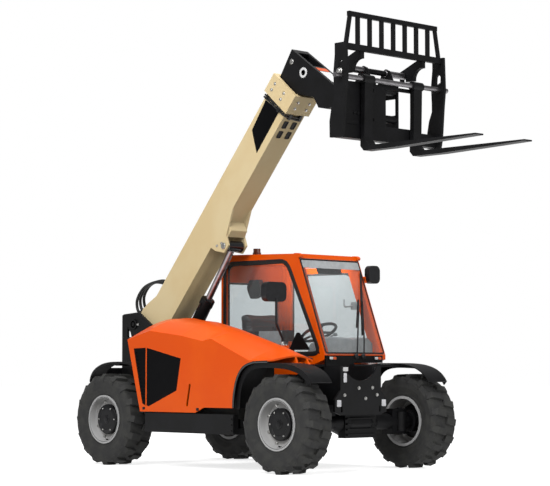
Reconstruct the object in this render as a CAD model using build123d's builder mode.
from build123d import *
import math
import os

# Super-compact telehandler, parked with its boom raised and its forks level.
# Frame: +X is forward, +Y is the machine's left, +Z is up, and z = 0 is the floor.
# The origin is on the floor under the middle of the overall box, forks included.
# The engine sits on the right (-Y), the cab on the left (+Y), the boom between them.

os.makedirs("parts", exist_ok=True)

# ---------------------------------------------------------------- driving sizes, mm
wheelbase = 2290.0
track = 1556.0
rear_axle_x = -1830.0
front_axle_x = rear_axle_x + wheelbase
tyre_r = 418.0
tyre_width = 300.0
rim_seat_r = 208.0
rim_flange_r = 222.0
rim_width = 262.0
axle_z = tyre_r
run_gap = 0.3          # between pieces that turn or slide in each other

# wheel carriers
kingpin_y = 610.0
kingpin_r = 24.0
knuckle_r = 68.0
knuckle_h = 170.0
yoke_t = 26.0
steer_arm_x = 160.0
rod_end_in = 30.0      # the steering rod's end lies this far inboard of the kingpin
steer_rod_r = 18.0

# boom, in its own frame: u along the boom from its pivot, v square to it
boom_y = -150.0
boom_angle = 49.4
boom_pivot_x = rear_axle_x - 265.0
boom_pivot_z = 1303.0
boom_w = 240.0
boom_top_v = -20.0
boom_bottom_v = -330.0
boom_wall = 12.0
boom_start_u = 170.0
collar_u0 = 2714.0
collar_u1 = 2905.0
collar_out = 25.0
pivot_pin_r = 35.0

# inner boom and its drop head
inner_gap = 12.0
inner_start_u = 640.0
inner_wall = 10.0
head_w = 200.0
head_pivot_u = 3160.0
head_pivot_v = -970.0
head_pin_r = 30.0

# lift cylinder
lift_base_x = rear_axle_x + 75.0
lift_base_z = 800.0
lift_pin_u = 1310.0
lift_pin_v = -455.0
lift_barrel_r = 60.0
lift_rod_r = 30.0
lift_barrel_len = 885.0
lift_rod_start = 700.0    # inner end of the rod with the boom as stored, from the base pin
lift_eye_r = 45.0
lift_eye_w = 80.0
lift_pin_r = 25.0

# chassis
rail_t = 25.0
rail_gap = 320.0                       # clear width between the two frame plates
rail_right_y = boom_y - rail_gap / 2
rail_left_y = boom_y + rail_gap / 2
nose_w = 500.0

# hood on the right
hood_out_y = -880.0
hood_in_y = rail_right_y - rail_t - 8.0
hood_wall = 14.0
hood_nose_x = front_axle_x - 130.0
hood_low_z = 944.0                 # its lower edge over the front mudguard
hinge_x = hood_nose_x + 50.0       # the hood tips forward about a pin ahead of its nose
hinge_z = 900.0
mirror_pad_y = hood_in_y - 45.0
mirror_pad_z = 1084.0

# cab on the left
cab_in_y = rail_left_y + rail_t + 10.0
cab_out_y = 835.0
cab_wall = 40.0
cab_rear_x = rear_axle_x + 556.0
cab_floor_z = 500.0
glass_t = 6.0

# carriage, measured from the head's pivot with the forks level
carriage_half_w = 620.0
upright_t = 25.0
fork_spacing = 611.0
fork_w = 100.0
fork_t = 42.0
fork_bar_r = 22.0


# ---------------------------------------------------------------- planes and helpers
def side_plane(y, x=0.0, z=0.0, tilt=0.0):
    """Upright side-view plane at y: sketch x runs forward, sketch y up, turned nose-up by tilt."""
    a = math.radians(tilt)
    return Plane(origin=(x, y, z), x_dir=(math.cos(a), 0, math.sin(a)), z_dir=(0, -1, 0))


def boom_plane(y):
    """Side-view plane in the boom's own frame: sketch x is u, sketch y is v."""
    return side_plane(y, boom_pivot_x, boom_pivot_z, boom_angle)


def boom_point(u, v):
    """World x and z of a point given in the boom's frame."""
    a = math.radians(boom_angle)
    x = boom_pivot_x + u * math.cos(a) - v * math.sin(a)
    z = boom_pivot_z + u * math.sin(a) + v * math.cos(a)
    return x, z


def slab(plane, outline, thickness, mode=Mode.ADD, inset=0.0):
    """Cut a plate to an outline, moved in by inset; it grows from the plane to the right."""
    with BuildSketch(plane) as profile:
        with BuildLine():
            Polyline(*outline, close=True)
        make_face()
        if inset:
            offset(amount=-inset, kind=Kind.INTERSECTION)
    extrude(profile.sketch, amount=thickness, mode=mode)


def disc(plane, centre, radius, thickness, mode=Mode.ADD):
    """A round boss, pin or bore across the machine, from the plane towards its right."""
    with BuildSketch(plane) as profile:
        with Locations(centre):
            Circle(radius)
    extrude(profile.sketch, amount=thickness, mode=mode)


def bar(x0, x1, y0, y1, z0, z1, mode=Mode.ADD):
    """A square-cut bar or opening between two corners."""
    with Locations(((x0 + x1) / 2, (y0 + y1) / 2, (z0 + z1) / 2)):
        Box(x1 - x0, y1 - y0, z1 - z0, mode=mode)


def turned(plane, outline, axis_dir):
    """Turn a half section, given as radius and length along the axis, about the plane's origin."""
    with BuildSketch(plane) as profile:
        with BuildLine():
            Polyline(*outline, close=True)
        make_face()
    revolve(profile.sketch, axis=Axis(plane.origin, axis_dir))


def curved_strip(plane, points, corner_r, thickness, width):
    """A bent sheet: a line with rounded corners, given a thickness, pushed to the right."""
    with BuildSketch(plane) as profile:
        with BuildLine():
            path = FilletPolyline(*points, radius=corner_r)
        trace(path, line_width=thickness)
    extrude(profile.sketch, amount=width)


def save(part, name):
    part.label = name
    export_step(part, f"parts/{name}.step")


# ================================================================= wheels and axles
# name, axle x, side (+1 left, -1 right)
corners = [
    ("front_left", front_axle_x, 1),
    ("front_right", front_axle_x, -1),
    ("rear_left", rear_axle_x, 1),
    ("rear_right", rear_axle_x, -1),
]


def wheel_plane(axle_x, side):
    """Origin at the wheel's centre; sketch x is the radius, sketch y points outboard."""
    return Plane(origin=(axle_x, side * track / 2, axle_z), x_dir=(1, 0, 0), z_dir=(0, 0, side))


half_tyre = tyre_width / 2
half_rim = rim_width / 2
disc_in = 46.0         # the rim's disc lies this far outboard of the wheel's centre
disc_t = 12.0
hub_r = 104.0
hub_flange_r = 150.0
hub_nose = 92.0        # how far the hub's cap stands outboard

# tyre carcass: radius, offset from the centre plane, outboard half
tyre_floor_r = tyre_r - 26.0       # between the lugs
tyre_side = [
    (rim_flange_r + 30, half_tyre - 21), (rim_flange_r + 78, half_tyre - 6),
    (tyre_floor_r - 40, half_tyre - 4), (tyre_floor_r, half_tyre - 20),
]
tyre_bore = [
    (rim_flange_r + 19, half_tyre), (rim_flange_r + 19, half_rim - 2.5),
    (rim_seat_r + run_gap, half_rim - 14.5),
]
lug_count = 16         # on each side of the tread
lug_w = 58.0
lug_skew = 12.0
lug_in = 4.0           # from the centre plane
lug_flat = 112.0
lug_out = half_tyre - lug_w / 2 * math.sin(math.radians(lug_skew))
lug_outline = [
    (tyre_floor_r - 14, lug_in), (tyre_r, lug_in), (tyre_r, lug_flat),
    (tyre_r - 44, lug_out), (tyre_floor_r - 52, lug_out), (tyre_floor_r - 52, half_tyre - 24),
]


def polygon_stack(plane, sections, sides, mode=Mode.ADD):
    """Flat-sided ring: regular polygons of a given inner radius, joined along the axis."""
    faces = []
    for radius, along in sections:
        with BuildSketch(plane.offset(along)) as section:
            RegularPolygon(radius, sides, major_radius=False)
        faces.append(section.sketch)
    loft(faces, ruled=True, mode=mode)


def lug(plane, angle, side):
    """One tread lug: an outline in radius and offset, set askew across the tread."""
    a = math.radians(angle)
    t = math.radians(lug_skew) * side
    radial = plane.x_dir * math.cos(a) + plane.y_dir * math.sin(a)
    round_dir = plane.y_dir * math.cos(a) - plane.x_dir * math.sin(a)
    across = plane.z_dir * side
    lean = round_dir * math.cos(t) - across * math.sin(t)
    centre = round_dir * ((lug_in + lug_flat) / 2 * math.tan(t))
    start = plane.origin - lean * (lug_w / 2) - centre
    with BuildSketch(Plane(origin=start, x_dir=radial, z_dir=lean)) as profile:
        with BuildLine():
            flip = 1 if lean.cross(radial).dot(across) > 0 else -1
            Polyline(*[(r, flip * w / math.cos(t)) for r, w in lug_outline], close=True)
        make_face()
    extrude(profile.sketch, amount=lug_w)


for name, axle_x, side in corners:
    plane = wheel_plane(axle_x, side)
    across = (0, 1, 0)

    with BuildPart() as tyre:
        disc_plane = Plane(origin=plane.origin, x_dir=(1, 0, 0), z_dir=(0, side, 0))
        rows = [(r, -w) for r, w in tyre_side] + [(r, w) for r, w in reversed(tyre_side)]
        polygon_stack(disc_plane, rows, 2 * lug_count)
        for n in range(lug_count):
            lug(disc_plane, 90 + n * 360 / lug_count, 1)
            lug(disc_plane, 90 + (n + 0.5) * 360 / lug_count, -1)
        rows = [(r, -w) for r, w in tyre_bore] + [(r, w) for r, w in reversed(tyre_bore)]
        polygon_stack(disc_plane, rows, 24, Mode.SUBTRACT)
    save(tyre.part, f"tyre_{name}")

    with BuildPart() as rim:
        turned(plane, [
            (rim_seat_r - 9, -half_rim),
            (rim_flange_r, -half_rim),
            (rim_flange_r, -half_rim + 9),
            (rim_seat_r, -half_rim + 14),
            (rim_seat_r, half_rim - 14),
            (rim_flange_r, half_rim - 9),
            (rim_flange_r, half_rim),
            (rim_seat_r - 9, half_rim),
            (rim_seat_r - 18, disc_in + disc_t + 24),
            (rim_seat_r - 30, disc_in + disc_t),
            (hub_r + run_gap, disc_in + disc_t),
            (hub_r + run_gap, disc_in),
            (rim_seat_r - 9, disc_in),
        ], across)
    save(rim.part, f"rim_{name}")

    with BuildPart() as hub:
        turned(plane, [
            (0, -62), (96, -62), (96, 8), (hub_flange_r, 16), (hub_flange_r, disc_in),
            (hub_r, disc_in), (hub_r, hub_nose - 26), (hub_r - 22, hub_nose), (0, hub_nose),
        ], across)
    save(hub.part, f"hub_{name}")

    # knuckle: an upright housing between the yoke's plates, its spindle and its steering arm
    king_y = side * kingpin_y
    front = -1             # the arms point to the rear
    arm_z = axle_z + steer_rod_r + 8
    with BuildPart() as knuckle:
        with Locations((axle_x, king_y, axle_z)):
            Cylinder(knuckle_r, knuckle_h)
            Cylinder(kingpin_r, knuckle_h + 2 * yoke_t + 16)
        spindle_len = track / 2 - 62 - run_gap - kingpin_y
        with BuildSketch(Plane(origin=(axle_x, king_y, axle_z), x_dir=(1, 0, 0), z_dir=(0, side, 0))):
            Circle(66)
        extrude(amount=spindle_len)
        with BuildSketch(Plane.XY.offset(arm_z)) as arm:
            with BuildLine():
                Polyline(
                    (axle_x - front * 30, king_y - side * 34),
                    (axle_x - front * 30, king_y + side * 25),
                    (axle_x + front * 60, king_y + side * 25),
                    (axle_x + front * (steer_arm_x + 28), king_y),
                    (axle_x + front * (steer_arm_x + 28), king_y - side * (rod_end_in + 28)),
                    (axle_x + front * (steer_arm_x - 20), king_y - side * (rod_end_in + 28)),
                    (axle_x + front * (steer_arm_x - 48), king_y - side * 34),
                    close=True,
                )
            make_face()
        extrude(arm.sketch, amount=22)
    save(knuckle.part, f"knuckle_{name}")

# the axles are alike, each with its steering cylinder behind it and a ribbed final drive ahead
for name, axle_x, front in [("front", front_axle_x, -1), ("rear", rear_axle_x, -1)]:
    yoke_in = kingpin_y - knuckle_r - 30
    half_h = knuckle_h / 2 + run_gap
    steer_x = axle_x + front * steer_arm_x
    with BuildPart() as axle:
        plane = Plane(origin=(axle_x, 0, axle_z), x_dir=(1, 0, 0), z_dir=(0, 0, 1))
        turned(plane, [
            (0, -yoke_in), (70, -yoke_in), (66, -260), (118, -120), (118, 120),
            (66, 260), (70, yoke_in), (0, yoke_in),
        ], (0, 1, 0))
        for side in (1, -1):
            y_a, y_b = sorted((side * (yoke_in - 60), side * yoke_in))
            bar(axle_x - 62, axle_x + 62, y_a, y_b, axle_z - half_h - yoke_t, axle_z + half_h + yoke_t)
            for z_low in (axle_z + half_h, axle_z - half_h - yoke_t):
                with BuildSketch(Plane.XY.offset(z_low)) as ear:
                    with Locations((axle_x, side * kingpin_y)):
                        Circle(58)
                        Circle(kingpin_r + run_gap, mode=Mode.SUBTRACT)
                    y_mid = side * (kingpin_y + yoke_in) / 2
                    with Locations((axle_x, y_mid)):
                        Rectangle(116, kingpin_y - yoke_in)
                    with Locations((axle_x, side * kingpin_y)):
                        Circle(kingpin_r + run_gap, mode=Mode.SUBTRACT)
                extrude(ear.sketch, amount=yoke_t)
        # pads that carry the frame
        for y in (rail_right_y - rail_t / 2, rail_left_y + rail_t / 2):
            bar(axle_x - 75, axle_x + 75, y - 45, y + 45, axle_z + 60, 575.0)
        # steering cylinder's barrel on two brackets
        with BuildSketch(side_plane(170, steer_x, axle_z)) as barrel:
            Circle(38)
            Circle(steer_rod_r + run_gap, mode=Mode.SUBTRACT)
        extrude(barrel.sketch, amount=340)
        for y in (-130, 130):
            x_a, x_b = sorted((axle_x + front * 60, steer_x - front * 30))
            bar(x_a, x_b, y - 12, y + 12, axle_z - 34, axle_z + 34)
        # final drive: a housing with four ribs across its nose
        bar(axle_x + 20, axle_x + 105, -190, 190, axle_z - 130, axle_z + 66)
        for n in range(4):
            z = axle_z - 108 + n * 46
            bar(axle_x + 60, axle_x + 126, -180, 180, z, z + 12)
    save(axle.part, f"axle_{name}")

    with BuildPart() as steer_rod:
        rod_end_y = kingpin_y - rod_end_in
        with BuildSketch(side_plane(rod_end_y, steer_x, axle_z)):
            Circle(steer_rod_r)
        extrude(amount=2 * rod_end_y)
        for y in (rod_end_y, -rod_end_y):
            with Locations((steer_x, y, axle_z + 2)):
                Cylinder(26, 47)
    save(steer_rod.part, f"steer_rod_{name}")

# ================================================================= main frame
frame_rear_x = rear_axle_x - 440.0
nose_x = front_axle_x + 235.0
belly_z = 350.0
rail_low_z = 575.0
nose_top_z = 905.0

rail_outline = [
    (frame_rear_x, rail_low_z),
    (frame_rear_x, 1390.0),
    (frame_rear_x + 25, 1402.0),
    (boom_pivot_x + 65, 1418.0),
    (boom_pivot_x + 260, 1290.0),
    (rear_axle_x + 150, 1000.0),
    (rear_axle_x + 420, 840.0),
    (front_axle_x - 420, 800.0),
    (front_axle_x - 150, nose_top_z),
    (nose_x, nose_top_z),
    (nose_x, rail_low_z),
    (front_axle_x - 330, rail_low_z),
    (front_axle_x - 480, belly_z),
    (rear_axle_x + 480, belly_z),
    (rear_axle_x + 330, rail_low_z),
]

with BuildPart() as main_frame:
    for y_right in (rail_right_y - rail_t, rail_left_y):
        plane = side_plane(y_right + rail_t)
        slab(plane, rail_outline, rail_t)
        # lightening hole behind and below the boom's pin
        slab(plane, [
            (boom_pivot_x - 95, boom_pivot_z - 120),
            (boom_pivot_x - 95, boom_pivot_z - 20),
            (boom_pivot_x - 50, boom_pivot_z - 75),
            (boom_pivot_x - 35, boom_pivot_z - 120),
        ], rail_t, Mode.SUBTRACT)
        disc(plane, (boom_pivot_x, boom_pivot_z), pivot_pin_r + run_gap, rail_t, Mode.SUBTRACT)
        disc(plane, (lift_base_x, lift_base_z), lift_pin_r + run_gap, rail_t, Mode.SUBTRACT)
    # rear cross plate, belly plate and front plate tie the two rails together
    bar(frame_rear_x, frame_rear_x + 20, rail_right_y, rail_left_y, rail_low_z, 1180.0)
    bar(rear_axle_x + 480, front_axle_x - 480, rail_right_y, rail_left_y, belly_z, belly_z + 16)
    with BuildSketch(Plane(origin=(nose_x, boom_y, 0), x_dir=(0, 1, 0), z_dir=(1, 0, 0))) as nose:
        half = nose_w / 2
        with BuildLine():
            Polyline(
                (half - 40, nose_top_z), (half, nose_top_z), (half, 700.0), (half + 68, 620.0),
                (half + 68, rail_low_z - 60), (half - 10, rail_low_z - 85), (10 - half, rail_low_z - 85),
                (-half - 68, rail_low_z - 60), (-half - 68, 620.0), (-half, 700.0),
                (-half, nose_top_z), (40 - half, nose_top_z))
            ThreePointArc((40 - half, nose_top_z), (0, nose_top_z - 125), (half - 40, nose_top_z))
        make_face()
        with Locations((half - 15, rail_low_z - 35), (15 - half, rail_low_z - 35)):
            SlotOverall(54, 18, rotation=90, mode=Mode.SUBTRACT)
    extrude(nose.sketch, amount=20)
    bar(front_axle_x - 150, nose_x, rail_right_y, rail_left_y, 700.0, 716.0)
    # the pins of the boom and of the lift cylinder's foot stay in the rails
    for pin_x, pin_z, pin_r in [
        (boom_pivot_x, boom_pivot_z, pivot_pin_r),
        (lift_base_x, lift_base_z, lift_pin_r),
    ]:
        reach = rail_gap / 2 + rail_t + 12
        disc(side_plane(boom_y + reach), (pin_x, pin_z), pin_r, 2 * reach)
        disc(side_plane(boom_y + reach), (pin_x, pin_z), pin_r + 14, 12)
        disc(side_plane(boom_y - reach + 12), (pin_x, pin_z), pin_r + 14, 12)
    # outriggers that carry the engine bay, the sill and the cab
    for x in (rear_axle_x + 552, front_axle_x - 630):
        bar(x, x + 60, -785.0, rail_right_y - rail_t, belly_z + 20, belly_z + 100)
        bar(x, x + 60, rail_left_y + rail_t, 785.0, belly_z + 20, 500.0)
    # arms under the mudguards
    for x, top, out in ((front_axle_x - 60, 920.6, 830.0), (rear_axle_x - 30, 934.0, 750.0)):
        bar(x, x + 60, -out, rail_right_y - rail_t, top - 25, top)
        bar(x, x + 60, rail_left_y + rail_t, out, top - 25, top)
    # bracket and pin of the hood's hinge, ahead of the hood's front edge
    bar(hinge_x - 35, hinge_x + 35, -400.0, rail_right_y - rail_t, hinge_z - 45, hinge_z - 10)
    bar(hinge_x - 20, hinge_x + 20, -400.0, -380.0, hinge_z - 20, hinge_z + 16)
    disc(side_plane(-380.0), (hinge_x, hinge_z), 8.0, 200)
save(main_frame.part, "main_frame")

# counterweight across the tail, between the rear wheels
tail_x = rear_axle_x - 495.0
with BuildPart() as counterweight:
    with BuildSketch(Plane.XY.offset(560.0)):
        with BuildLine():
            Polyline(
                (frame_rear_x, -560), (frame_rear_x, 560), (tail_x, 520), (tail_x, -520), close=True)
        make_face()
    extrude(amount=330)
save(counterweight.part, "counterweight")

# side sills: tanks and steps under the hood and under the cab
sill_rear_x = rear_axle_x + 555.0
sill_front_x = front_axle_x - 549.0
for name, side, outer_y in [("right", -1, hood_out_y), ("left", 1, 850.0)]:
    with BuildPart() as sill:
        y_a, y_b = sorted((outer_y, side * 420.0))
        bar(sill_rear_x, sill_front_x, y_a, y_b, 318.0, belly_z + 20)
        y_a, y_b = sorted((outer_y, outer_y - side * 50))
        bar(sill_rear_x, sill_front_x, y_a, y_b, 318.0, 490.0)
    save(sill.part, f"sill_{name}")

# engine and radiator, closed in under the hood: one plain block on the outriggers
with BuildPart() as engine:
    bar(rear_axle_x + 570, front_axle_x - 600, -780.0, rail_right_y - rail_t - 20, belly_z + 100, 900.0)
save(engine.part, "engine_block")

# mudguards: bent sheets round the four wheels, points given from the axle's centre
front_guard = [
    (-554, 129), (-546, 240), (-507, 375), (-432, 468), (-320, 506), (-136, 515), (93, 500),
    (271, 437), (353, 352),
]
rear_guard = [(-396, 345), (-352, 433), (-250, 494), (-100, 525), (50, 529), (170, 521), (300, 466)]
rear_liner = [(285, 471), (450, 350), (548, 150), (548, 0)]
guard_t = 8.0
guard_in_y = 600.0
front_guard_y = 850.0
rear_guard_y = 765.0
liner_out_y = 795.0


def guard(plane, points, width, lip, side):
    """A sheet bent along a smooth line, its outer edge turned down into a lip."""
    lip_start = 0.0 if side > 0 else width - guard_t
    for start, length, depth in [(0.0, width, guard_t), (lip_start, guard_t, lip)]:
        with BuildSketch(plane.offset(start)) as profile:
            with BuildLine() as outline:
                outer = Spline(*points)
                k = [1 - depth / math.hypot(x, z) for x, z in points]
                inner = Spline(*[(x * f, z * f) for (x, z), f in zip(points, k)])
                Line(outer @ 0, inner @ 0)
                Line(outer @ 1, inner @ 1)
            make_face()
        extrude(profile.sketch, amount=length)


with BuildPart() as mudguards:
    for name, axle_x, side in corners:
        if axle_x > 0:
            y_left = max(side * front_guard_y, side * guard_in_y)
            guard(side_plane(y_left, axle_x, axle_z), front_guard, front_guard_y - guard_in_y, 46.0, side)
        else:
            y_left = max(side * rear_guard_y, side * guard_in_y)
            guard(side_plane(y_left, axle_x, axle_z), rear_guard, rear_guard_y - guard_in_y, 20.0, side)
            y_left = max(side * liner_out_y, side * guard_in_y)
            curved_strip(side_plane(y_left, axle_x, axle_z), rear_liner, 60.0, guard_t,
                         liner_out_y - guard_in_y)
save(mudguards.part, "mudguards")

# ================================================================= hood
# sections from rear to front: x, then shoulder, bevel, crest and inner edge heights
hood_foot_z = 498.0
hood_sections = [
    (rear_axle_x + 303, 1147.0, 1208.0, 1305.0, 1345.0),
    (rear_axle_x + 617, 1224.0, 1285.0, 1338.0, 1345.0),
    (rear_axle_x + 1050, 1174.0, 1240.0, 1303.0, 1268.0),
    (rear_axle_x + 1325, 1125.0, 1186.0, 1245.0, 1200.0),
    (rear_axle_x + 1445, 1143.0, 1176.0, 1213.0, 1167.0),
    (front_axle_x - 359, hood_low_z + 8, 1003.0, 1073.0, 1017.0),
    (hood_nose_x, hood_low_z + 6, 972.0, 995.0, 958.0),
]
bevel_in = 130.0
crest_in = 360.0


def hood_section(x, shoulder, bevel, crest, inner, wall):
    """One closed cross-section of the hood, moved in by the wall thickness."""
    with BuildSketch(Plane(origin=(x, 0, 0), x_dir=(0, 1, 0), z_dir=(1, 0, 0))) as section:
        with BuildLine():
            Line((hood_out_y + wall, hood_foot_z - wall), (hood_out_y + wall, shoulder - wall))
            Spline(
                (hood_out_y + wall, shoulder - wall),
                (hood_out_y + bevel_in + wall / 3, bevel - wall),
                (hood_out_y + crest_in, crest - wall),
                (hood_in_y - wall, inner - wall),
            )
            Polyline(
                (hood_in_y - wall, inner - wall), (hood_in_y - wall, hood_foot_z - wall),
                (hood_out_y + wall, hood_foot_z - wall),
            )
        make_face()
    return section.sketch


# outline of the air grille and of the panel ahead of it, in side view
grille_outline = [
    (rear_axle_x + 391, 1066.0), (rear_axle_x + 562, 1071.0), (rear_axle_x + 562, 549.0),
    (rear_axle_x + 516, 570.0),
]
panel_outline = [
    (rear_axle_x + 576, 1071.0), (rear_axle_x + 1043, 973.0), (rear_axle_x + 987, 689.0),
    (rear_axle_x + 606, 545.0), (rear_axle_x + 576, 550.0),
]

with BuildPart() as hood:
    for n in range(len(hood_sections) - 1):
        loft([hood_section(*row, 0.0) for row in hood_sections[n:n + 2]], ruled=True)
    for n in range(len(hood_sections) - 1):
        loft([hood_section(*row, hood_wall) for row in hood_sections[n:n + 2]], ruled=True,
             mode=Mode.SUBTRACT)
    # leaning rear edge
    slab(side_plane(0.0), [
        (rear_axle_x + 303, 1147.0), (rear_axle_x + 485, 498.0), (rear_axle_x + 485, 400.0),
        (rear_axle_x + 200, 400.0), (rear_axle_x + 200, 1147.0),
    ], 1000.0, Mode.SUBTRACT)
    # arch that follows the front mudguard, and the edge over the mudguard's top
    clear = 14.0
    with BuildSketch(side_plane(0.0, front_axle_x, axle_z)) as arch:
        with BuildLine():
            spread = [(x * (1 + clear / math.hypot(x, z)), z * (1 + clear / math.hypot(x, z)))
                      for x, z in front_guard[:5]]
            Spline(*spread)
            Polyline(
                spread[-1], (-250, hood_low_z - axle_z), (400, hood_low_z - axle_z), (400, -60),
                (spread[0][0], -60), spread[0])
        make_face()
    extrude(arch.sketch, amount=1000.0, mode=Mode.SUBTRACT)
    # stepped lower edge
    slab(side_plane(0.0), [
        (rear_axle_x + 1226, 400.0), (rear_axle_x + 1226, 494.0), (rear_axle_x + 1351, 545.0),
        (front_axle_x - 500, 545.0), (front_axle_x - 500, 400.0),
    ], 1000.0, Mode.SUBTRACT)
    # the inner side is open below the crest, where the frame stands
    bar(rear_axle_x + 150, front_axle_x + 500, hood_in_y - hood_wall - 1, hood_in_y + 1,
        400.0, 900.0, Mode.SUBTRACT)
    # openings for the grille and the panel, and a leaning slot ahead of them
    for outline in (grille_outline, panel_outline):
        slab(side_plane(hood_out_y + hood_wall + 1), outline, hood_wall + 2, Mode.SUBTRACT)
    with BuildSketch(side_plane(hood_out_y + hood_wall + 1)) as slot:
        with Locations((front_axle_x - 1144, 650.0)):
            SlotOverall(204, 24, rotation=78.6)
    extrude(slot.sketch, amount=hood_wall + 2, mode=Mode.SUBTRACT)
    # pad for the mirror's arm, and the two arms that reach forward to the hinge pin
    bar(front_axle_x - 500, front_axle_x - 420, mirror_pad_y - 35, mirror_pad_y + 35,
        mirror_pad_z - 55, mirror_pad_z)
    for y, top_z in ((-405.0, hood_low_z + 24), (-540.0, hood_low_z + 42)):
        slab(side_plane(y), [
            (hood_nose_x - 60, top_z + 20), (hood_nose_x - 2, top_z),
            (hood_nose_x + 20, hood_low_z - 12), (hinge_x + 14, hinge_z), (hinge_x - 14, hinge_z - 2),
            (hood_nose_x - 20, hood_low_z - 18), (hood_nose_x - 60, hood_low_z - 4),
        ], 20)
        disc(side_plane(y), (hinge_x, hinge_z), 14.0, 20)
        disc(side_plane(y), (hinge_x, hinge_z), 8 + run_gap, 20, Mode.SUBTRACT)
save(hood.part, "hood")

# air grille with slats, and the plain panel beside it, both let into the hood's side
with BuildPart() as grille:
    for outline in (grille_outline, panel_outline):
        slab(side_plane(hood_out_y + hood_wall), outline, hood_wall - 2)
    # the two are joined behind the hood's skin
    bar(rear_axle_x + 530, rear_axle_x + 610, hood_out_y + hood_wall, hood_out_y + hood_wall + 6,
        640.0, 1000.0)
    slat_pitch = 34.0
    for n in range(13):
        z = 612.0 + n * slat_pitch
        rear = rear_axle_x + 516 - 125 * (z - 570) / 496 + 20
        bar(rear, rear_axle_x + 544, hood_out_y - 1, hood_out_y + 6, z, z + 16, Mode.SUBTRACT)
save(grille.part, "hood_grille")

# ================================================================= cab
post_w = 60.0
cab_mid_y = (cab_in_y + cab_out_y) / 2
beacon_x = cab_rear_x + 130
beacon_y = cab_mid_y - 60
roof_z = 1890.0
beacon_z = roof_z + 56
sill_z = 1005.0          # lower edge of the windows
a_foot_x = front_axle_x - 375.0
a_top_x = front_axle_x - 715.0
rear_pane_z0 = sill_z + 45.0
rear_pane_z1 = roof_z - 200.0
well_x = front_axle_x - 570.0      # front of the footwell, behind the steered wheel
nose_low_z = 965.0                 # underside of the cab ahead of the footwell
cab_side = [
    (cab_rear_x, cab_floor_z), (cab_rear_x, roof_z + 20), (a_top_x, roof_z - 4),
    (a_foot_x, sill_z), (a_foot_x, nose_low_z), (well_x, 900.0), (well_x, cab_floor_z),
]
window_side = [
    (cab_rear_x + post_w - 10, sill_z + 10), (cab_rear_x + post_w - 10, roof_z - 34),
    (a_top_x - 140, roof_z - 34), (a_foot_x - 56, sill_z + 10),
]
door_side = [
    (cab_rear_x + post_w + 30, cab_floor_z + 60), (cab_rear_x + post_w + 30, roof_z - 50),
    (a_top_x - 50, roof_z - 60), (a_foot_x - 75, sill_z + 10), (well_x - 50, 870.0),
    (well_x - 50, cab_floor_z + 60),
]

door_pin_x = cab_rear_x + post_w + 33      # at the door's rear edge
door_pin_y = cab_out_y + 15
hinge_heights = (760.0, 1600.0)

with BuildPart() as cab_frame:
    slab(side_plane(cab_out_y), cab_side, cab_out_y - cab_in_y)
    inner_side = [
        (cab_rear_x + cab_wall, cab_floor_z + 40), (cab_rear_x + cab_wall, roof_z - 26),
        (a_top_x - 20, roof_z - 40), (a_foot_x - 45, sill_z), (well_x - 40, sill_z - 80),
        (well_x - 40, cab_floor_z + 40),
    ]
    slab(side_plane(cab_out_y - cab_wall), inner_side, cab_out_y - cab_in_y - 2 * cab_wall, Mode.SUBTRACT)
    # boom-side window, door opening, rear window, windscreen and roof window
    slab(side_plane(cab_in_y + cab_wall + 1), window_side, cab_wall + 2, Mode.SUBTRACT)
    slab(side_plane(cab_out_y + 1), door_side, cab_wall + 2, Mode.SUBTRACT)
    glass_y0 = cab_in_y + post_w
    glass_y1 = cab_out_y - post_w
    bar(cab_rear_x - 1, cab_rear_x + cab_wall + 1, glass_y0, glass_y1, rear_pane_z0, rear_pane_z1,
        Mode.SUBTRACT)
    slab(side_plane(glass_y1), [
        (a_top_x - 60, roof_z - 62), (a_foot_x - 60, sill_z + 12), (a_foot_x + 60, sill_z + 12),
        (a_top_x + 100, roof_z - 62),
    ], glass_y1 - glass_y0, Mode.SUBTRACT)
    # the door's hinge pins, each held at both ends
    for z in hinge_heights:
        with Locations((door_pin_x, door_pin_y, z)):
            Cylinder(8, 120)
        for z_end in (z - 52.5, z + 52.5):
            with Locations((door_pin_x, door_pin_y, z_end)):
                Cylinder(14, 15)
            bar(door_pin_x - 60, door_pin_x - 6, cab_out_y, cab_out_y + 8, z_end - 7.5, z_end + 7.5)
save(cab_frame.part, "cab_frame")

# black apron under the windscreen, its lower part inboard of the steered wheel
with BuildPart() as apron:
    with BuildSketch(Plane(origin=(a_foot_x, 0, 0), x_dir=(0, 1, 0), z_dir=(1, 0, 0))):
        with BuildLine():
            Polyline(
                (cab_in_y, 620), (400, 620), (400, 935), (775, 935), (775, 1000), (cab_in_y, 1000),
                close=True,
            )
        make_face()
    extrude(amount=20)
save(apron.part, "front_apron")

with BuildPart() as cab_roof:
    slab(side_plane(cab_out_y - 10), [
        (cab_rear_x, roof_z + 20), (a_top_x, roof_z - 4), (a_top_x - 10, roof_z + 28),
        (cab_rear_x + 60, roof_z + 52), (cab_rear_x, roof_z + 46),
    ], cab_out_y - cab_in_y - 20)
    bar(beacon_x - 70, beacon_x + 70, beacon_y - 70, beacon_y + 70, roof_z + 30, beacon_z)
save(cab_roof.part, "cab_roof")

# panes, each let into its opening
with BuildPart() as cab_glass:
    pane_y = cab_in_y + cab_wall / 2
    slab(side_plane(pane_y), window_side, glass_t)
    bar(cab_rear_x + 15, cab_rear_x + 15 + glass_t, glass_y0, glass_y1, rear_pane_z0, rear_pane_z1)
    # the windscreen is bonded on the outside of its posts
    lean = (a_foot_x - a_top_x) / (roof_z - 4 - sill_z)
    low_z = sill_z + 2
    high_z = roof_z - 12
    low_x = a_foot_x - lean * (low_z - sill_z)
    high_x = a_foot_x - lean * (high_z - sill_z)
    slab(side_plane(cab_out_y - 14), [
        (low_x, low_z), (high_x, high_z), (high_x + glass_t, high_z), (low_x + glass_t, low_z),
    ], cab_out_y - cab_in_y - 28)
save(cab_glass.part, "cab_glass")

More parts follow.
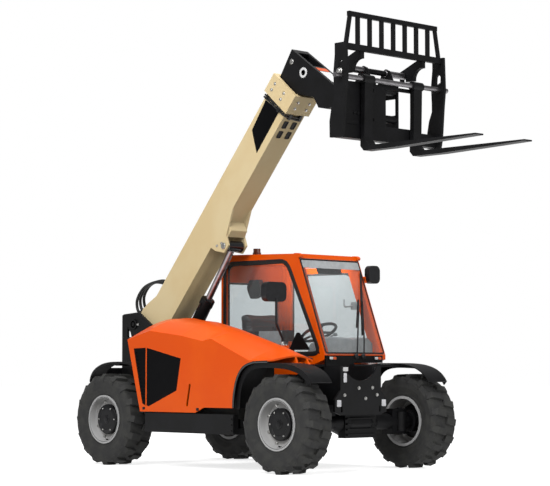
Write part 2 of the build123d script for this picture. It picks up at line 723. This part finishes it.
# door on the left, hinged at its rear post
door_gap = 6.0
door_t = 34.0
door_pane = [
    (cab_rear_x + post_w + 90, sill_z - 150), (cab_rear_x + post_w + 90, roof_z - 110),
    (a_top_x - 100, roof_z - 118), (a_foot_x - 140, sill_z + 10), (well_x - 110, sill_z - 150),
]
with BuildPart() as door:
    slab(side_plane(cab_out_y), door_side, door_t, inset=door_gap)
    slab(side_plane(cab_out_y), door_pane, door_t, Mode.SUBTRACT)
    for z in hinge_heights:
        with Locations((door_pin_x, door_pin_y, z)):
            Cylinder(14, 89.4)
        bar(door_pin_x + 4, door_pin_x + 65, cab_out_y, cab_out_y + 8, z - 44.7, z + 44.7)
        with Locations((door_pin_x, door_pin_y, z)):
            Cylinder(8 + run_gap, 89.4, mode=Mode.SUBTRACT)
save(door.part, "cab_door")

with BuildPart() as door_glass:
    slab(side_plane(cab_out_y - 14), door_pane, glass_t)
save(door_glass.part, "door_glass")

# seat on its box, and the column and console that stand on the cab's floor
floor_top = cab_floor_z + 40.0
seat_x = rear_axle_x + 890.0
with BuildPart() as seat:
    bar(seat_x - 200, seat_x + 200, cab_mid_y - 190, cab_mid_y + 190, floor_top, floor_top + 250)
    bar(seat_x - 240, seat_x + 240, cab_mid_y - 235, cab_mid_y + 235, floor_top + 250, floor_top + 370)
    slab(side_plane(cab_mid_y + 220), [
        (seat_x - 240, floor_top + 370), (seat_x - 130, floor_top + 370),
        (seat_x - 190, floor_top + 860), (seat_x - 290, floor_top + 860),
    ], 440)
save(seat.part, "seat")

dash_x = well_x - 80.0
column_len = 400.0
with BuildPart() as column:
    tilt = 62.0
    foot = Plane(
        origin=(dash_x, cab_mid_y, floor_top + 320),
        x_dir=(math.sin(math.radians(tilt)), 0, math.cos(math.radians(tilt))),
        z_dir=(-math.cos(math.radians(tilt)), 0, math.sin(math.radians(tilt))),
    )
    bar(dash_x - 50, dash_x + 30, cab_mid_y - 110, cab_mid_y + 110, floor_top, floor_top + 380)
    with BuildSketch(foot):
        Circle(38)
    extrude(amount=column_len)
    with Locations(foot.offset(column_len)):
        Torus(165, 14)
        Cylinder(45, 26)
        for angle in (90, 210, 330):
            with Locations(Rot(0, 0, angle)):
                with Locations((85, 0, 0)):
                    Box(170, 26, 12)
save(column.part, "steering_column")

with BuildPart() as console:
    slab(side_plane(cab_in_y + cab_wall + 111), [
        (seat_x - 160, floor_top), (seat_x - 160, floor_top + 560), (seat_x + 330, floor_top + 560),
        (seat_x + 420, floor_top + 470), (seat_x + 420, floor_top),
    ], 110)
    with Locations((seat_x + 280, cab_in_y + cab_wall + 56, floor_top + 640)):
        Cylinder(22, 170)
save(console.part, "console")

# right mirror on an arm that stands on a pad on the hood and leans out over it
mirror_x = front_axle_x - 424.0
mirror_y = -500.0
mirror_z = 1550.0


def mirror_head(x, y, z, width, height):
    """A mirror's housing, facing the rear, with rounded corners."""
    with BuildSketch(Plane(origin=(x - 30, y, z), x_dir=(0, 1, 0), z_dir=(1, 0, 0))) as face:
        RectangleRounded(width, height, height * 0.3)
    extrude(face.sketch, amount=60)


with BuildPart() as mirror_right:
    arm = [
        (mirror_x - 36, mirror_pad_y, mirror_pad_z),
        (mirror_x - 36, mirror_pad_y, mirror_pad_z + 60),
        (mirror_x, mirror_y, mirror_pad_z + 190),
        (mirror_x, mirror_y, mirror_z - 60),
    ]
    with BuildLine() as arm_line:
        FilletPolyline(*arm, radius=40)
    with BuildSketch(Plane(arm_line.line @ 0, z_dir=arm_line.line % 0)):
        Circle(11)
    sweep(path=arm_line.line)
    mirror_head(mirror_x - 30, mirror_y, mirror_z, 250, 170)
save(mirror_right.part, "mirror_right")

# left mirror on a bracket from the cab's front post, ahead of the door
left_mirror_z = roof_z - 140
with BuildPart() as mirror_left:
    bar(a_top_x + 30, a_top_x + 80, cab_out_y, cab_out_y + 60, left_mirror_z - 60, left_mirror_z - 35)
    mirror_head(a_top_x + 105, cab_out_y + 78, left_mirror_z, 144, 165)
save(mirror_left.part, "mirror_left")

# beacon on the roof
with BuildPart() as beacon:
    with Locations((beacon_x, beacon_y, beacon_z + 15)):
        Cylinder(40, 30)
    with Locations((beacon_x, beacon_y, beacon_z + 45)):
        Cylinder(34, 44)
save(beacon.part, "beacon")

# ================================================================= boom
half_boom = boom_w / 2
boom_h = boom_top_v - boom_bottom_v
inner_w = boom_w - 2 * boom_wall - 2 * inner_gap
inner_h = boom_h - 2 * boom_wall - 2 * inner_gap
boom_mid_v = (boom_top_v + boom_bottom_v) / 2


def boom_section(u, width, height, mid_v=boom_mid_v):
    """Rectangle square to the boom at u; returns the placed sketch."""
    x, z = boom_point(u, mid_v)
    a = math.radians(boom_angle)
    plane = Plane(origin=(x, boom_y, z), x_dir=(0, 1, 0), z_dir=(math.cos(a), 0, math.sin(a)))
    with BuildSketch(plane) as section:
        Rectangle(width, height)
    return section.sketch


with BuildPart() as boom_outer:
    extrude(boom_section(boom_start_u, boom_w, boom_h), amount=collar_u1 - 20 - boom_start_u)
    extrude(boom_section(collar_u0, boom_w + 2 * collar_out, boom_h + 2 * collar_out),
            amount=collar_u1 - collar_u0)
    # tail plates that run to the pivot
    for y in (boom_y + half_boom, boom_y - half_boom + boom_wall * 2):
        slab(boom_plane(y), [
            (450.0, boom_top_v - 40), (422.0, boom_top_v - 20), (220.0, 35.0), (0.0, 62.0),
            (-62.0, 0.0), (-30.0, -60.0), (boom_start_u, boom_bottom_v), (450.0, boom_bottom_v),
        ], boom_wall * 2)
        disc(boom_plane(y), (0.0, 0.0), 62.0, boom_wall * 2)
    # pivot tube
    disc(boom_plane(boom_y + half_boom), (0.0, 0.0), 62.0, boom_w)
    disc(boom_plane(boom_y + half_boom + 1), (0.0, 0.0), pivot_pin_r + run_gap, boom_w + 2, Mode.SUBTRACT)
    # block on the tail that the hoses screw into
    slab(boom_plane(boom_y + half_boom - 12), [
        (85.0, 20.0), (85.0, 62.0), (155.0, 62.0), (155.0, 20.0),
    ], boom_w - 24)
    # hollow for the inner boom
    extrude(boom_section(300.0, boom_w - 2 * boom_wall, boom_h - 2 * boom_wall),
            amount=collar_u1 - 299.0, mode=Mode.SUBTRACT)
    # wear pads round the inner boom, at the mouth
    extrude(boom_section(collar_u1 - 90, boom_w - 2 * boom_wall, boom_h - 2 * boom_wall), amount=70)
    extrude(boom_section(collar_u1 - 91, inner_w + 2 * run_gap, inner_h + 2 * run_gap), amount=92,
            mode=Mode.SUBTRACT)
    # lug plates for the lift cylinder's rod
    for y in (boom_y + half_boom, boom_y - half_boom + 20):
        slab(boom_plane(y), [
            (1190.0, boom_bottom_v), (1205.0, -395.0), (1265.0, -500.0), (1355.0, -500.0),
            (1400.0, -420.0), (1640.0, boom_bottom_v),
        ], 20)
save(boom_outer.part, "boom_outer")

# hoses that loop over the tail, held by the boom from its pivot to its top plate
with BuildPart() as hoses:
    for y in (boom_y - 60, boom_y, boom_y + 60):
        k = 1.0 + 0.12 * (y - boom_y) / 60
        points = [(120.0, 62.0), (120.0, 105.0), (35.0, 165.0 * k), (105.0, 285.0 * k),
                  (275.0, 285.0 * k), (490.0, 95.0 * k), (490.0, boom_top_v)]
        with BuildLine(boom_plane(y)) as route:
            FilletPolyline(*points, radius=45.0)
        with BuildSketch(Plane(route.line @ 0, z_dir=route.line % 0)):
            Circle(14)
        sweep(path=route.line)
save(hoses.part, "boom_hoses")

head_u0 = collar_u1 + 8
head_socket = 22.0       # how far the inner boom is let into its head
with BuildPart() as boom_inner:
    inner_len = head_u0 + head_socket - inner_start_u
    extrude(boom_section(inner_start_u, inner_w, inner_h), amount=inner_len)
    # wear pads round its tail
    pad = 2 * (inner_gap - run_gap)
    extrude(boom_section(inner_start_u, inner_w + pad, inner_h + pad), amount=80)
    extrude(boom_section(inner_start_u - 1, inner_w - 2 * inner_wall, inner_h - 2 * inner_wall),
            amount=inner_len + 2, mode=Mode.SUBTRACT)
save(boom_inner.part, "boom_inner")

# drop head: two side plates, closed behind, above and in front, open at the top front
pu, pv = head_pivot_u, head_pivot_v
head_outline = [
    (head_u0, -40.0), (pu + 14, -5.0), (pu + 69, pv + 315), (pu + 80, pv + 40), (pu + 45, pv - 70),
    (pu - 45, pv - 70), (pu - 85, pv - 10), (pu - 94, pv + 225), (pu - 138, pv + 258),
    (pu - 190, pv + 352), (pu - 155, pv + 462), (head_u0 + 17, -360.0), (head_u0, -330.0),
]
head_plate = 18.0
half_head = head_w / 2
with BuildPart() as head:
    slab(boom_plane(boom_y + half_head), head_outline, head_w)
    slab(boom_plane(boom_y + half_head - head_plate), [
        (head_u0 + 30, -58.0), (pu - 10, -30.0), (pu + 43, pv + 315), (pu + 52, pv + 120),
        (pu - 60, pv + 120), (pu - 70, pv + 210), (pu - 115, pv + 240), (pu - 162, pv + 345),
        (pu - 128, pv + 470), (head_u0 + 37, -340.0), (head_u0 + 30, -300.0),
    ], head_w - 2 * head_plate, Mode.SUBTRACT)
    # the inner boom's end is let into the head
    extrude(boom_section(head_u0 - 5, inner_w + 2 * run_gap, inner_h + 2 * run_gap),
            amount=head_socket + 5 + run_gap, mode=Mode.SUBTRACT)
    # opening through the front plate for the tilt cylinder's head
    slab(boom_plane(boom_y + half_head - head_plate - 12), [
        (pu - 60, -60.0), (pu + 140, -60.0), (pu + 140, -300.0), (pu - 60, -300.0),
    ], head_w - 2 * head_plate - 24, Mode.SUBTRACT)
    # fork end: the coupler's boss turns between the side plates
    slab(boom_plane(boom_y + 50), [
        (pu - 160, pv + 100), (pu + 140, pv + 100), (pu + 140, pv - 130), (pu - 160, pv - 130),
    ], 100.0, Mode.SUBTRACT)
    disc(boom_plane(boom_y + half_head + 58), (head_pivot_u, head_pivot_v), head_pin_r, head_w + 116)
save(head.part, "boom_head")

# ================================================================= lift cylinder
lift_pin_x, lift_pin_z = boom_point(lift_pin_u, lift_pin_v)
lift_len = math.hypot(lift_pin_x - lift_base_x, lift_pin_z - lift_base_z)
lift_angle = math.degrees(math.atan2(lift_pin_z - lift_base_z, lift_pin_x - lift_base_x))
lift_dir = (math.cos(math.radians(lift_angle)), 0, math.sin(math.radians(lift_angle)))
lift_plane = Plane(
    origin=(lift_base_x, boom_y, lift_base_z),
    x_dir=(-lift_dir[2], 0, lift_dir[0]),
    z_dir=(0, 1, 0),
)
half_eye = lift_eye_w / 2
with BuildPart() as barrel:
    turned(lift_plane, [
        (0, 40), (lift_barrel_r - 8, 60), (lift_barrel_r, 90), (lift_barrel_r, lift_barrel_len - 60),
        (lift_barrel_r + 6, lift_barrel_len - 60), (lift_barrel_r + 6, lift_barrel_len),
        (lift_rod_r + run_gap, lift_barrel_len), (lift_rod_r + run_gap, 200), (0, 200),
    ], lift_dir)
    foot_plane = side_plane(boom_y + half_eye, lift_base_x, lift_base_z)
    disc(foot_plane, (0, 0), lift_eye_r + 8, lift_eye_w)
    disc(foot_plane, (0, 0), lift_pin_r + run_gap, lift_eye_w, Mode.SUBTRACT)
save(barrel.part, "lift_barrel")

with BuildPart() as rod:
    turned(lift_plane, [
        (0, lift_rod_start), (lift_rod_r, lift_rod_start), (lift_rod_r, lift_len - 20),
        (0, lift_len - 20),
    ], lift_dir)
    eye_plane = side_plane(boom_y + half_eye, lift_pin_x, lift_pin_z)
    disc(eye_plane, (0, 0), lift_eye_r, lift_eye_w)
    reach = half_boom - 20 - 6
    disc(side_plane(boom_y + reach, lift_pin_x, lift_pin_z), (0, 0), lift_pin_r, 2 * reach)
save(rod.part, "lift_rod")

# ================================================================= coupler and carriage
head_x, head_z = boom_point(head_pivot_u, head_pivot_v)


def tool_plane(y):
    """Side-view plane whose origin is the head's pivot: sketch x forward, sketch y up."""
    return side_plane(y, head_x, head_z)


hook_x, hook_z = 194.0, 341.0       # coupler's hook shaft, from the head's pivot
hook_half = 402.0
hook_r = 24.0
fork_bar_x, fork_bar_z = 392.0, 227.0
coupler_out = 150.0
rest_top_z = -165.0                 # top of the carriage's bottom rail
coupler_t = 20.0
with BuildPart() as coupler:
    # plates outside the head's fork end
    for y in (boom_y + coupler_out, boom_y - coupler_out + coupler_t):
        slab(tool_plane(y), [
            (-62.0, -10.0), (-40.0, 50.0), (130.0, 300.0), (hook_x - 38, hook_z + 22),
            (hook_x, hook_z + 40), (hook_x + 38, hook_z + 22), (275.0, 270.0), (328.0, 240.0),
            (328.0, rest_top_z), (262.0, rest_top_z), (40.0, -62.0), (-30.0, -58.0),
        ], coupler_t)
        # window between the cross tubes
        slab(tool_plane(y), [(175.0, -30.0), (306.0, -30.0), (306.0, 112.0), (175.0, 112.0)],
             coupler_t, Mode.SUBTRACT)
        disc(tool_plane(y), (0, 0), head_pin_r + run_gap, coupler_t, Mode.SUBTRACT)
    # bosses that fill the gap to the head's sides
    boss = coupler_out - coupler_t - half_head - run_gap
    for y in (boom_y + coupler_out - coupler_t, boom_y - half_head - run_gap):
        disc(tool_plane(y), (0, 0), 48.0, boss)
        disc(tool_plane(y), (0, 0), head_pin_r + run_gap, boss, Mode.SUBTRACT)
    disc(tool_plane(boom_y + hook_half), (hook_x, hook_z), hook_r, 2 * hook_half)
    for x, z, r in [(290.0, 172.0, 36.0), (292.0, -70.0, 34.0)]:
        disc(tool_plane(boom_y + coupler_out), (x, z), r, 2 * coupler_out)
save(coupler.part, "coupler")

rail_x = 415.0
low_rail_z = 477.0
top_rail_z = 753.0
with BuildPart() as fork_frame:
    for y in (boom_y + carriage_half_w, boom_y - carriage_half_w + upright_t):
        slab(tool_plane(y), [
            (318.0, low_rail_z + 28), (318.0, 405.0), (302.0, 262.0), (310.0, 110.0), (310.0, 40.0),
            (276.0, -40.0), (256.0, -140.0), (258.0, -277.0), (400.0, -285.0), (418.0, -200.0),
            (441.0, 92.0), (455.0, 213.0), (445.0, low_rail_z + 28),
        ], upright_t)
        with BuildSketch(tool_plane(y)) as slot:
            with Locations((385.0, 312.0)):
                SlotOverall(92, 54, rotation=86)
        extrude(slot.sketch, amount=upright_t, mode=Mode.SUBTRACT)
        disc(tool_plane(y), (fork_bar_x, fork_bar_z), fork_bar_r + run_gap, upright_t, Mode.SUBTRACT)
    # bottom rail, lower rest plate and two posts beside the window
    inner = carriage_half_w - upright_t
    bar(head_x + 262, head_x + 350, boom_y - inner, boom_y + inner, head_z - 275, head_z + rest_top_z)
    bar(head_x + 332, head_x + 350, boom_y - inner, boom_y + 330, head_z + rest_top_z, head_z + 202)
    bar(head_x + 331, head_x + 351, boom_y - 34, boom_y + 290, head_z + rest_top_z + 20, head_z + 170,
        Mode.SUBTRACT)
    # reinforcing strip along the foot of the plate
    bar(head_x + 350, head_x + 358, boom_y - inner, boom_y - 370, head_z + rest_top_z + 10,
        head_z + rest_top_z + 40)
save(fork_frame.part, "fork_frame")

with BuildPart() as fork_bar:
    with BuildSketch(tool_plane(boom_y + 697)) as bar_end:
        with Locations((fork_bar_x, fork_bar_z)):
            Circle(fork_bar_r)
    extrude(amount=1394)
save(fork_bar.part, "fork_bar")

# load backrest: lower and upper rail, seven upright bars and two slanted ends, two hooks
with BuildPart() as backrest:
    bar(head_x + rail_x - 30, head_x + rail_x + 10, boom_y - inner, boom_y + inner,
        head_z + low_rail_z - 25, head_z + low_rail_z + 25)
    bar(head_x + rail_x - 25, head_x + rail_x + 5, boom_y - 548, boom_y + 548,
        head_z + top_rail_z - 20, head_z + top_rail_z + 20)
    for n in range(7):
        y = boom_y + (n - 3) * 145.0
        bar(head_x + rail_x - 20, head_x + rail_x, y - 20, y + 20,
            head_z + low_rail_z + 25, head_z + top_rail_z - 20)
    for side in (1, -1):
        with BuildSketch(Plane(origin=(head_x + rail_x - 20, boom_y, head_z), x_dir=(0, 1, 0),
                               z_dir=(1, 0, 0))) as end_bar:
            with BuildLine():
                Polyline(
                    (side * 594, low_rail_z + 25), (side * 556, low_rail_z + 25),
                    (side * 512, top_rail_z - 20), (side * 548, top_rail_z - 20), close=True)
            make_face()
        extrude(end_bar.sketch, amount=20)
    # curved hooks from the lower rail over the ends of the coupler's shaft, open below it
    for y in (boom_y + hook_half - 1, boom_y - hook_half + 41):
        with BuildSketch(tool_plane(y)) as hook:
            with BuildLine():
                Polyline(
                    (rail_x - 5, low_rail_z - 84), (rail_x - 5, low_rail_z), (rail_x - 30, low_rail_z),
                    (hook_x + 10, hook_z + 62), (hook_x - 44, hook_z + 40), (hook_x - 46, hook_z - 50),
                    (hook_x + 112, hook_z - 50))
                ThreePointArc(
                    (hook_x + 112, hook_z - 50), (hook_x + 140, hook_z + 28),
                    (rail_x - 5, low_rail_z - 84))
            make_face()
        extrude(hook.sketch, amount=40)
        disc(tool_plane(y), (hook_x, hook_z), hook_r + run_gap, 40, Mode.SUBTRACT)
        slab(tool_plane(y), [
            (hook_x - hook_r, hook_z), (hook_x + hook_r, hook_z), (hook_x + hook_r, hook_z - 60),
            (hook_x - hook_r, hook_z - 60),
        ], 40, Mode.SUBTRACT)
save(backrest.part, "load_backrest")

# forks: shank, heel and tapered blade, hung on the bar by their collars
fork_heel_z = -375.0
fork_tip_x = 1605.0
for name, side in [("left", 1), ("right", -1)]:
    y_mid = boom_y + side * fork_spacing / 2
    with BuildPart() as fork:
        with BuildSketch(tool_plane(y_mid + fork_w / 2)) as profile:
            with BuildLine():
                Polyline(
                    (fork_bar_x - 22, fork_bar_z), (fork_bar_x + 22, fork_bar_z),
                    (fork_bar_x + 10, fork_heel_z + fork_t + 60),
                    (fork_bar_x + 60, fork_heel_z + fork_t),
                    (fork_tip_x, fork_heel_z + fork_t), (fork_tip_x, fork_heel_z + 30),
                    (fork_bar_x + 300, fork_heel_z), (fork_bar_x, fork_heel_z),
                    (fork_bar_x - 36, fork_heel_z + 40), close=True,
                )
            make_face()
        extrude(profile.sketch, amount=fork_w)
        disc(tool_plane(y_mid + 62), (fork_bar_x, fork_bar_z), fork_bar_r + 16, 124)
        disc(tool_plane(y_mid + 63), (fork_bar_x, fork_bar_z), fork_bar_r + run_gap, 126, Mode.SUBTRACT)
    save(fork.part, f"fork_{name}")
